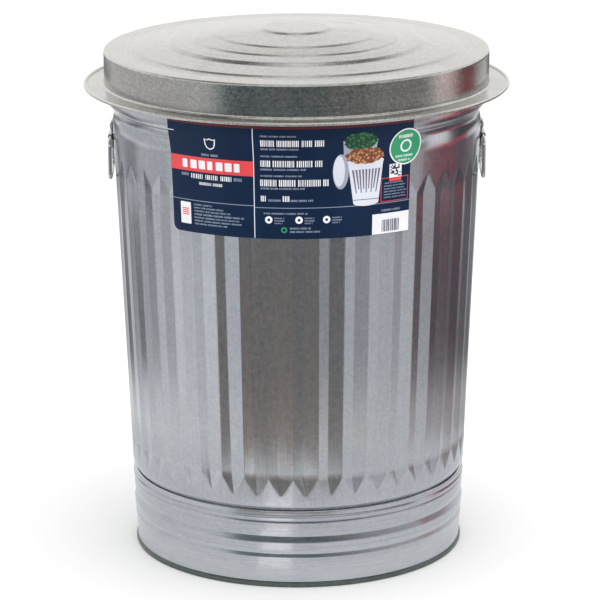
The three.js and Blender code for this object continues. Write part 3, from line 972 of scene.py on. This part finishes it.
def bailPath(side):
    # corners of the wire's centre line, hanging against the wall
    reach = pivotOut * math.cos(wallTilt)
    out = (coneRadius(handle["level"]) + reach) * side
    level = handle["level"] - pivotOut * math.sin(wallTilt)
    half, drop, end = handle["bailHalf"], handle["bailDrop"], handle["bailEnds"] / 2
    corners = [(end, 0), (half, 0), (half, -drop), (-half, -drop), (-half, 0), (-end, 0)]
    mesh = bpy.data.meshes.new("bailPath")
    mesh.from_pydata(
        [Vector((out, along, level + up)) * mm for along, up in corners], [(i, i + 1) for i in range(5)], [],
    )
    return mesh


for side, word in ((-1, "Left"), (1, "Right")):
    lower = word.lower()
    settle(earPlate(side, "ear" + word), "can", "ear_zinc", "ear_" + lower)
    turn, seat = wallFrame(side)
    rivets = growPiece("rivets" + word, rivetMesh(), rivetGrid, {
        "Spacing Along": 2 * handle["rivetSide"] * mm, "Spacing Up": 2 * handle["rivetUp"] * mm,
        "Rows Along": 2, "Rows Up": 2,
        "Place": tuple(seat), "Turn": tuple(turn.to_euler()), "Sharp Above": math.radians(40),
        "Finish": rivetZinc,
    })
    settle(rivets, "can", "rivet_zinc", *(f"rivet_{lower}_{i}" for i in (1, 2, 3, 4)))
    bail = growPiece("bail" + word, bailPath(side), bentWire, {
        "Wire Radius": handle["wire"] * mm, "Bend Radius": handle["bailBend"] * mm, "Bend Steps": 12,
        "Sides": 16,
        "Sharp Above": math.radians(50), "Finish": wireZinc,
    })
    settle(bail, "handle_" + lower, "wire_zinc", "bail_" + lower)

print("stage 7: card")

card = {
    "thick": 0.5,
    "left": -177.0,          # along the wall from the front line
    "right": 157.0,
    "bottom": 484.5,
    "top": 641.0,
    "corner": 9.0,
    "wallGap": 0.5,
    "alongStep": 7.0,
    "tagAlong": 147.0,
    "tagLevel": 599.0,
    "tagRadius": 24.5,
    "tagGap": 0.4,
}
cardSide = roundedLine([
    (480, coneRadius(480) + 0.6), (can["shoulder"], coneRadius(can["shoulder"]) + 0.6, 12),
    (can["collar"], can["collarRadius"] + card["wallGap"], 8),
    (645, can["collarRadius"] + card["wallGap"]),
], 6)


def cardRadius(level):
    for (za, ra), (zb, rb) in zip(cardSide, cardSide[1:]):
        if level <= zb:
            return ra + (rb - ra) * (level - za) / (zb - za)
    return cardSide[-1][1]


def wrapPatch(work, outline, low, high):
    # a flat outline of (along, level), counter-clockwise, wrapped on the wall between two heights above it
    flat = bmesh.new()
    flat.faces.new([flat.verts.new((x, z, 0)) for x, z in outline])
    xs, zs = [p[0] for p in outline], [p[1] for p in outline]
    cuts = [
        (Vector((x, 0, 0)), Vector((1, 0, 0)))
        for x in [card["alongStep"] * k for k in range(-30, 30)]
        if min(xs) < x < max(xs)
    ]
    cuts += [
        (Vector((0, z, 0)), Vector((0, 1, 0)))
        for z in [560 + 6 * k for k in range(13)]
        if min(zs) < z < max(zs)
    ]
    for spot, direction in cuts:
        bmesh.ops.bisect_plane(
            flat, geom=flat.verts[:] + flat.edges[:] + flat.faces[:], dist=0.001, plane_co=spot,
            plane_no=direction,
        )
    bmesh.ops.triangulate(flat, faces=[f for f in flat.faces if len(f.verts) > 4])
    flat.verts.ensure_lookup_table()
    turnScale = 1 / coneRadius(can["shoulder"])
    skins = []
    for out in (low, high):
        spots = [aroundPoint(cardRadius(v.co.y) + out, v.co.x * turnScale, v.co.y) for v in flat.verts]
        skins.append([work.verts.new(spot) for spot in spots])
    for face in flat.faces:
        face.normal_update()
        order = [v.index for v in face.verts]
        if face.normal.z < 0:
            order.reverse()
        work.faces.new([skins[1][i] for i in order])
        work.faces.new([skins[0][i] for i in reversed(order)])
    for edge in flat.edges:
        if len(edge.link_faces) == 1:
            a, b = (v.index for v in edge.verts)
            work.faces.new([skins[0][a], skins[0][b], skins[1][b], skins[1][a]])
    flat.free()


def roundedBox(left, right, bottom, top, corner=0.0, steps=4):
    corner = min(corner, (right - left) / 2 - 0.01, (top - bottom) / 2 - 0.01)
    if corner <= 0.05:
        return [(left, bottom), (right, bottom), (right, top), (left, top)]
    outline = []
    for x, z, first in (
        (right - corner, bottom + corner, -90), (right - corner, top - corner, 0),
        (left + corner, top - corner, 90), (left + corner, bottom + corner, 180),
    ):
        for s in range(steps + 1):
            angle = math.radians(first + 90 * s / steps)
            outline.append((x + corner * math.cos(angle), z + corner * math.sin(angle)))
    return outline


def oval(along, level, wide, high=None, sides=36, lobes=0.0, seed=0):
    wobble = random.Random(seed)
    high = high or wide
    outline = []
    for i in range(sides):
        angle = 2 * math.pi * i / sides
        reach = 1 + lobes * (wobble.random() - 0.5)
        outline.append((along + wide * reach * math.cos(angle), level + high * reach * math.sin(angle)))
    return outline


def wordRow(left, right, bottom, top, letter, seed):
    # a line of plain upright strokes in groups, standing in for words
    mix = random.Random(seed)
    boxes, x = [], left
    while x < right - letter * 0.4:
        for _ in range(mix.randint(6, 13)):
            wide = letter * mix.choice((0.2, 0.26, 0.36))
            if x + wide > right:
                break
            boxes.append(roundedBox(x, x + wide, bottom, top))
            x += wide + letter * mix.choice((0.2, 0.3))
        x += letter * 0.55
    return boxes


def printPiece(name, outlines, finish, slot, low, high):
    work = bmesh.new()
    for outline in outlines:
        wrapPatch(work, outline, low, high)
    piece = pieceFromMesh(name, work, finish, 40)
    return settle(piece, "can", slot)


inks = {
    "navy": {"dark": (2, 26, 56), "light": (8, 38, 70), "roughness": 0.4, "specular": 0.2},
    "white": {"dark": (222, 222, 228), "light": (240, 240, 244), "roughness": 0.4},
    "pale": {"dark": (128, 142, 166), "light": (150, 162, 184), "roughness": 0.42},
    "red": {"dark": (214, 52, 58), "light": (232, 66, 70), "roughness": 0.4, "coat": 0.2},
    # painted shade: the red of the top strip, darkened for the shade under the lid's brim
    "redPaintedShade": {"dark": (84, 10, 18), "light": (104, 14, 24), "roughness": 0.45},
    "green": {"dark": (20, 140, 92), "light": (32, 156, 104), "roughness": 0.4, "coat": 0.2},
    "pictureZinc": {"dark": (196, 200, 214), "light": (226, 229, 240), "roughness": 0.42},
    "pictureShade": {"dark": (84, 80, 98), "light": (120, 116, 134), "roughness": 0.42},
    "pictureGrey": {"dark": (140, 145, 162), "light": (170, 175, 190), "roughness": 0.42},
    "heapGreen": {
        "dark": (22, 128, 74), "light": (70, 180, 112), "gap": (8, 62, 36), "lumps": 260.0, "roughness": 0.45,
    },
    "heapBrown": {
        "dark": (214, 150, 100), "light": (240, 196, 140), "gap": (120, 58, 30), "lumps": 240.0,
        "roughness": 0.45,
    },
}
ink = {name: printedFinish(name + "Ink", look) for name, look in inks.items()}

cardLabel = printPiece(
    "cardLabel", [roundedBox(card["left"], card["right"], card["bottom"], card["top"], card["corner"], 6)],
    ink["navy"], "card_navy", 0, card["thick"],
)
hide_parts("card_label")

# Layout of the printing: (left, right, bottom, top), millimetres along the wall and above the floor.
printing = {
    "lowerLine": 528.0,
    "divider": -55.8,
    "redBand": (-176.6, -56.3, 567.0, 587.0),
    "topStrip": (-176.6, 156.6, 631.5, 640.6),
    "redBox": (112.5, 154.0, 527.5, 559.5),
    "whitePanel": (101.0, 156.6, 484.9, 512.0),
    "sideBox": (-164.0, -147.5, 495.5, 524.5),
    "discs": [(-37.0, 510.0, 4.9), (2.5, 510.0, 4.9), (38.6, 510.0, 4.9)],
}

whiteShapes = [
    roundedBox(printing["divider"] - 0.5, printing["divider"] + 0.5, 485.2, 631.5),
    roundedBox(-176.4, -167.0, 619.4, 620.4),
    roundedBox(*printing["whitePanel"]),
    roundedBox(*printing["sideBox"], 1.0),
    roundedBox(124.5, 143.0, 559.0, 577.0, 0.8),
]
whiteShapes += [oval(*disc) for disc in printing["discs"]]
for left, right, bottom, top, letter, seed in (
    (-46, 35, 608, 616.5, 4.4, 1), (-47, 34, 580.5, 589, 4.4, 2), (-47.5, 43, 554.8, 563.6, 4.4, 3),
    (-47, -40.6, 534.5, 542, 4.6, 4), (-18.5, -9, 534.5, 542, 4.2, 5), (-145, -86, 558, 564.3, 5.2, 6),
    (-133, -98, 550, 553.8, 3.6, 7),
):
    whiteShapes += wordRow(left, right, bottom, top, letter, seed)
for i in range(7):                                        # seven plain blocks on the red band
    x = -158 + 12.6 * i
    whiteShapes.append(roundedBox(x, x + (9.6 if i % 3 else 7.6), 571.2, 582.6, 1.2))
shield = [
    (-114, 598.6), (-109, 601), (-106.8, 605.5), (-106, 613.8), (-110, 612.6), (-114, 614.4), (-118, 612.6),
    (-122, 613.8), (-121.2, 605.5), (-119, 601),
]
whiteShapes.append(shield)
printPiece("printWhite", whiteShapes, ink["white"], "card_navy", 0.4, 0.58)

shieldInner = [(-114 + (x + 114) * 0.78, 606.4 + (z - 606.4) * 0.8) for x, z in shield]
overShapes = [shieldInner]
bars = random.Random(11)
x, right, bottom, top = 115, 141, 487.5, 503.5             # plain bars on the white panel
while x < right:
    wide = bars.choice((0.5, 0.8, 1.3))
    overShapes.append(roundedBox(x, x + wide, bottom, top))
    x += wide + bars.choice((0.6, 0.9, 1.2))
checks = random.Random(5)
for row in range(8):
    for column in range(8):
        if checks.random() < 0.48:
            x, z = 125.9 + 2.0 * column, 560.2 + 2.0 * row
            overShapes.append(roundedBox(x, x + 1.9, z, z + 1.9))
for along, level, radius in printing["discs"]:
    overShapes.append(oval(along, level, 1.9))
printPiece("printOver", overShapes, ink["navy"], "card_navy", 0.5, 0.66)

paleShapes = [
    roundedBox(-176.4, printing["divider"] - 0.6, printing["lowerLine"] - 0.4, printing["lowerLine"] + 0.4),
    roundedBox(printing["divider"] + 0.6, 156.4, printing["lowerLine"] - 2.4, printing["lowerLine"] - 1.6),
]
for left, right, bottom, top, letter, seed in (
    (-46, -1, 620.8, 623, 2.4, 21), (-46, 4, 603.2, 605.6, 2.4, 22), (-46.5, 1.5, 593.6, 595.8, 2.4, 23),
    (-47, 11.5, 575.8, 578.2, 2.4, 24),
    (-47, 7.4, 567.4, 569.6, 2.4, 25), (-47, 10, 550.6, 553, 2.4, 26), (-37, -21, 534.6, 537.4, 2.6, 27),
    (-8, 21, 534.4, 537.2, 2.6, 28),
    (-43.3, 14.3, 517.4, 519.6, 2.4, 29), (-9.4, 18.6, 497.6, 500, 2.4, 30),
    (-9.4, 29.7, 493, 495.4, 2.4, 31),
    (-128, -103, 589.6, 592.6, 3.4, 32), (-160, -148.6, 560.4, 564.2, 2.8, 33),
    (-82.7, -71.3, 559, 563.4, 2.8, 34),
    (114, 143, 514.8, 517.6, 2.6, 35), (-142, -115, 521.6, 523.6, 2.2, 36),
    (-142, -98, 517.4, 519.4, 2.2, 37), (-142, -88, 513.2, 515.2, 2.2, 38),
    (-142, -70, 508.6, 511, 2.4, 39), (-142, -76, 504.4, 506.4, 2.2, 40), (-142, -72, 500.2, 502.2, 2.2, 41),
    (-142, -93, 496, 498, 2.2, 42),
    (118, 147, 551.4, 553, 2.0, 43), (117, 150, 547.6, 549.2, 2.0, 44), (117, 148, 543.8, 545.4, 2.0, 45),
    (117, 151, 540, 541.6, 2.0, 46), (117, 149, 536.2, 537.8, 2.0, 47),
    (117, 150, 532.4, 534, 2.0, 48),
):
    paleShapes += wordRow(left, right, bottom, top, letter, seed)
for along in (-29.5, 9.8, 46):
    for k in range(3):
        paleShapes += wordRow(
            along, along + (13 if k < 2 else 11), 511.4 - 3.4 * k, 513.2 - 3.4 * k, 2.2, 60 + k,
        )
printPiece("printPale", paleShapes, ink["pale"], "card_navy", 0.4, 0.57)

left, right, bottom, top = printing["redBox"]
redShapes = [
    roundedBox(*printing["redBand"]), roundedBox(left, right, bottom, bottom + 0.9),
    roundedBox(left, right, top - 0.9, top),
    roundedBox(left, left + 0.9, bottom + 0.9, top - 0.9),
    roundedBox(right - 0.9, right, bottom + 0.9, top - 0.9),
    roundedBox(124.5, 143.0, 554.0, 558.4),
]
printPiece("printRed", redShapes, ink["red"], "card_navy", 0.4, 0.555)
# the top strip is red print, painted darker as painted shade under the brim
printPiece("printTopStrip", [roundedBox(*printing["topStrip"])], ink["redPaintedShade"], "card_navy", 0.4, 0.555)
sideMarks = [roundedBox(-161, -150.5, 507.4 + 2.6 * k, 508.8 + 2.6 * k) for k in range(4)]
printPiece("printSideMarks", sideMarks, ink["red"], "card_navy", 0.5, 0.66)
printPiece("printGreenMark", [oval(-17, 496.6, 4.0)], ink["green"], "card_navy", 0.4, 0.57)
printPiece("printGreenMiddle", [oval(-17, 496.6, 2.0)], ink["navy"], "card_navy", 0.5, 0.62)

# The little picture: two open cans with heaps, and a lid leaning on them.
picture = {
    "frontTop": 580.0, "frontBottom": 529.0, "frontLeft": 66.0, "frontRight": 115.0, "footLeft": 74.0,
    "footRight": 109.0,
}
pictureBody = [(picture["footLeft"], picture["frontBottom"])]
pictureBody += [
    (91.5 + 17.5 * math.sin(math.radians(a)), 529.5 - 4.5 * math.cos(math.radians(a)))
    for a in range(-75, 76, 15)
]
pictureBody += [
    (picture["footRight"], picture["frontBottom"]), (picture["frontRight"], picture["frontTop"] + 5),
    (picture["frontLeft"], picture["frontTop"] + 5),
]
printPiece(
    "pictureRearCan", [[(61, 588), (103, 588), (105.5, 614), (58.8, 614)], oval(56.8, 572.8, 10.6, 23.4)],
    ink["pictureGrey"], "card_navy", 0.4, 0.58,
)
printPiece(
    "pictureFrontCan", [pictureBody, oval(90.5, 584.5, 25.2, 6.4), oval(54.6, 573.6, 7.6, 20.4)],
    ink["pictureZinc"], "card_navy", 0.45, 0.62,
)
fluteMarks = []
for k in range(9):
    high = 71.5 + 4.6 * k
    low = 77.2 + 3.4 * k
    deep = 548 if k % 2 else 543
    fluteMarks.append([(low, deep), (low + 1.4, deep), (high + 2.6, 574), (high, 574)])
fluteMarks.append(roundedBox(72.5, 109.5, 533.2, 534.2))
printPiece("pictureShade", fluteMarks, ink["pictureShade"], "card_navy", 0.5, 0.68)
printPiece(
    "pictureGreenHeap", [oval(82.6, 612.6, 22.4, 11.6, 48, 0.16, 3)], ink["heapGreen"], "card_navy", 0.45,
    0.66,
)
printPiece(
    "pictureBrownHeap", [oval(89.6, 592.4, 26.4, 10.8, 48, 0.16, 4)], ink["heapBrown"], "card_navy", 0.5,
    0.72,
)

tagLow = card["thick"] + card["tagGap"]
roundTag = printPiece(
    "roundTag", [oval(card["tagAlong"], card["tagLevel"], card["tagRadius"], sides=72)], ink["white"],
    "tag_green", tagLow, tagLow + card["thick"],
)
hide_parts("round_tag")
tagPrint = [oval(card["tagAlong"], card["tagLevel"], card["tagRadius"] - 1.8, sides=72)]
printPiece("tagPrint", tagPrint, ink["green"], "tag_green", tagLow + 0.4, tagLow + 0.56)
tagMarks = [oval(card["tagAlong"], card["tagLevel"] + 1, 8.6, sides=40)]
tagMarks += wordRow(135, 159, 611, 615.4, 3.8, 71) + wordRow(132.5, 160, 585, 588, 2.8, 72) + wordRow(
    136.5, 156, 579.6, 582.4, 2.8, 73,
)
printPiece("tagMarks", tagMarks, ink["white"], "tag_green", tagLow + 0.5, tagLow + 0.64)
printPiece(
    "tagRing", [oval(card["tagAlong"], card["tagLevel"] + 1, 6.2, sides=40)], ink["green"], "tag_green",
    tagLow + 0.6, tagLow + 0.7,
)

print("stage 8: floor and light")

studio = {
    "floorTone": (244, 244, 244),
    "worldTone": (255, 255, 254),
    "worldStrength": 1.18,
    "softLight": {"place": (0.3, -0.6, 3.2), "aim": (0, 0, 0.4), "size": 3.0, "energy": 26.0},
    "panelStart": 0.6,
    "panelEnd": 3.2,
    "panelLevel": 0.004,
    "panelSteps": 8,
    "stripStep": 5,          # one more step for each so many degrees
    "panelRuns": (0.78, 0.98, 1.9, 2.6),
    # painted reflections: glowing panels laid on the floor round the can, seen only in the gloss of the
    # metal; from and to in degrees from the front, then the tone near the can, further out and far out
    "panels": [
        (-157, -131, (255, 255, 255), (212, 212, 214), (164, 165, 170)),
        (-131, -114, (250, 250, 250), (124, 124, 128), (176, 177, 180)),
        (-114, -99, (250, 250, 250), (194, 194, 197), (240, 240, 240)),
        (-99, -84, (246, 246, 248), (204, 204, 208), (206, 206, 209)),
        (-84, -68, (252, 252, 252), (236, 236, 240), (174, 176, 180)),
        (-68, -59, (255, 255, 255), (255, 255, 255), (174, 176, 180)),
        (-59, -38, (246, 246, 247), (226, 227, 232), (166, 168, 172)),
        (-38, -20, (148, 138, 130), (122, 116, 112), (92, 104, 112)),
        (-20, -6, (166, 152, 140), (142, 134, 128), (100, 112, 120)),
        (-6, 7, (158, 146, 136), (136, 130, 126), (92, 104, 112)),
        (7, 20, (146, 138, 130), (124, 121, 120), (96, 106, 112)),
        (20, 35, (236, 234, 232), (174, 175, 180), (168, 172, 176)),
        (35, 51, (236, 235, 234), (214, 214, 217), (190, 191, 194)),
        (51, 65, (236, 236, 236), (224, 224, 227), (206, 204, 206)),
        (65, 82, (230, 230, 230), (196, 196, 199), (206, 190, 190)),
        (82, 96, (200, 190, 190), (109, 98, 102), (196, 116, 122)),
        (96, 111, (190, 180, 182), (91, 82, 88), (190, 104, 112)),
        (111, 127, (190, 186, 188), (112, 106, 112), (100, 88, 100)),
        (127, 143, (200, 200, 200), (119, 118, 122), (121, 120, 124)),
        (143, 168, (220, 220, 220), (182, 182, 185), (250, 250, 250)),
    ],
    # painted reflections and highlights: glowing rings and dark and bright bands seen only in the gloss,
    # lighting nothing; both ends of the section (distance, level), then from and to in degrees, tone and
    # strength
    "strips": [
        ((0.27, 0.003), (0.6, 0.003), [
            (-180, -17, (234, 236, 238), 1.0),
            (-17, -3, (255, 255, 255), 1.2),
            (-3, 180, (234, 236, 238), 1.0),
        ]),
        ((3.15, 0.005), (3.15, 0.2), [
            (-166, -140, (110, 112, 116), 1.0),
            (-140, -50, (248, 248, 246), 1.0),
            (-50, -26, (160, 190, 204), 1.0),
            (-26, -2, (194, 216, 226), 1.0),
            (-2, 16, (160, 190, 204), 1.0),
            (16, 90, (208, 208, 206), 1.0),
            (90, 128, (214, 84, 100), 1.0),
            (128, 150, (255, 255, 255), 1.1),
            (150, 170, (96, 92, 100), 1.0),
        ]),
        ((3.15, 0.2), (3.15, 0.95), [
            (-140, -44, (206, 208, 212), 1.0),
            (-44, 40, (36, 46, 52), 1.0),
            (40, 84, (110, 114, 118), 1.0),
            (84, 104, (255, 255, 255), 1.1),
            (104, 150, (60, 64, 68), 1.0),
        ]),
        ((3.6, 0.95), (3.6, 2.5), [
            (-150, 150, (255, 255, 255), 1.35),
        ]),
        ((3.6, 2.5), (3.6, 4.8), [
            (-100, 100, (52, 54, 56), 1.0),
        ]),
        ((3.0, 2.9), (3.0, 4.5), [
            (148, 173, (36, 38, 38), 1.0),
        ]),
        ((3.0, 3.1), (3.0, 3.5), [
            (173, 186, (80, 80, 78), 1.0),
        ]),
        ((3.0, 2.9), (3.0, 4.5), [
            (186, 214, (36, 38, 38), 1.0),
        ]),
        ((3.0, 3.5), (3.0, 5.0), [
            (173, 186, (255, 255, 255), 1.6),
        ]),
        ((0.02, 6.0), (3.4, 6.0), [
            (-180, 180, (60, 62, 64), 1.0),
        ]),
    ],
}

floorFinish = bpy.data.materials.new("paleFloor")
floorFinish.use_nodes = True
floorShader = floorFinish.node_tree.nodes["Principled BSDF"]
floorShader.inputs["Base Color"].default_value = shade(*studio["floorTone"])
floorShader.inputs["Roughness"].default_value = 0.9
floorShader.inputs["Specular IOR Level"].default_value = 0.0
bpy.ops.mesh.primitive_plane_add(size=60, location=(0, 0, -0.0002))
floor = bpy.context.object
floor.name = "floor"
floor.data.materials.append(floorFinish)

world = bpy.data.worlds.new("paleStudio")
world.use_nodes = True
world.node_tree.nodes["Background"].inputs["Color"].default_value = shade(*studio["worldTone"])
world.node_tree.nodes["Background"].inputs["Strength"].default_value = studio["worldStrength"]
scene.world = world

softLight = bpy.data.lights.new("softLight", "AREA")
softLight.shape = "DISK"
softLight.size = studio["softLight"]["size"]
softLight.energy = studio["softLight"]["energy"]
lamp = bpy.data.objects.new("softLight", softLight)
lamp.location = studio["softLight"]["place"]
lampAim = Vector(studio["softLight"]["aim"]) - Vector(studio["softLight"]["place"])
lamp.rotation_euler = lampAim.to_track_quat("-Z", "Y").to_euler()
scene.collection.objects.link(lamp)


# the glow is painted reflection: it lights nothing and shows only in the metal's gloss
def glowFinish(name):
    finish = bpy.data.materials.new(name)
    finish.use_nodes = True
    finish.cycles.emission_sampling = "NONE"
    tree = finish.node_tree
    tree.nodes.remove(tree.nodes["Principled BSDF"])
    glow = addNode(tree, "ShaderNodeEmission", (0, 0))
    wire(glow, "Emission", tree.nodes["Material Output"], "Surface")
    return finish, glow


def glossPanel(name, finish, fromTurn, toTurn, section, steps):
    # both ends of the section (distance, level) are swept round the can, seen only in the gloss of the metal
    spots = []
    for i in range(steps + 1):
        angle = math.radians(fromTurn + (toTurn - fromTurn) * i / steps)
        spots += [
            (distance * math.sin(angle), -distance * math.cos(angle), level)
            for distance, level in section
        ]
    mesh = bpy.data.meshes.new(name)
    mesh.from_pydata(spots, [], [(2 * i, 2 * i + 2, 2 * i + 3, 2 * i + 1) for i in range(steps)])
    mesh.materials.append(finish)
    panel = bpy.data.objects.new(name, mesh)
    for kind in ("camera", "diffuse", "shadow", "transmission", "volume_scatter"):
        setattr(panel, "visible_" + kind, False)
    scene.collection.objects.link(panel)


def paintedReflectionPanel(name, fromTurn, toTurn, nearTone, middleTone, farTone):
    finish, glow = glowFinish(name)
    tree = finish.node_tree
    place = addNode(tree, "ShaderNodeTexCoord", (-5, 0))
    reach = addNode(tree, "ShaderNodeVectorMath", (-4, 0), operation="LENGTH")
    scale = addNode(tree, "ShaderNodeMath", (-3, 0), {1: studio["panelEnd"]}, operation="DIVIDE")
    ramp = addNode(tree, "ShaderNodeValToRGB", (-2, 0))
    near, *middle, far = [run / studio["panelEnd"] for run in studio["panelRuns"]]
    ramp.color_ramp.elements[0].position = near
    ramp.color_ramp.elements[1].position = far
    for run in middle:
        ramp.color_ramp.elements.new(run).color = shade(*middleTone)
    ramp.color_ramp.elements[0].color = shade(*nearTone)
    ramp.color_ramp.elements[3].color = shade(*farTone)
    wire(place, "Object", reach, 0)
    wire(reach, "Value", scale, 0)
    wire(scale, "Value", ramp, "Fac")
    wire(ramp, "Color", glow, "Color")
    section = [(run, studio["panelLevel"]) for run in (studio["panelStart"], studio["panelEnd"])]
    glossPanel(name, finish, fromTurn, toTurn, section, studio["panelSteps"])


def paintedReflectionStrip(name, section, fromTurn, toTurn, tone, strength):
    finish, glow = glowFinish(name)
    glow.inputs["Color"].default_value = shade(*tone)
    glow.inputs["Strength"].default_value = strength
    steps = studio["panelSteps"] + abs(toTurn - fromTurn) // studio["stripStep"]
    glossPanel(name, finish, fromTurn, toTurn, section, steps)


# painted reflections and highlights for the zinc, from the panels and strips above
for index, settings in enumerate(studio["panels"]):
    paintedReflectionPanel(f"paintedReflection{index}", *settings)
strips = [((start, end), *settings) for start, end, group in studio["strips"] for settings in group]
for index, settings in enumerate(strips):
    paintedReflectionStrip(f"strip{index}", *settings)

bpy.context.view_layer.update()
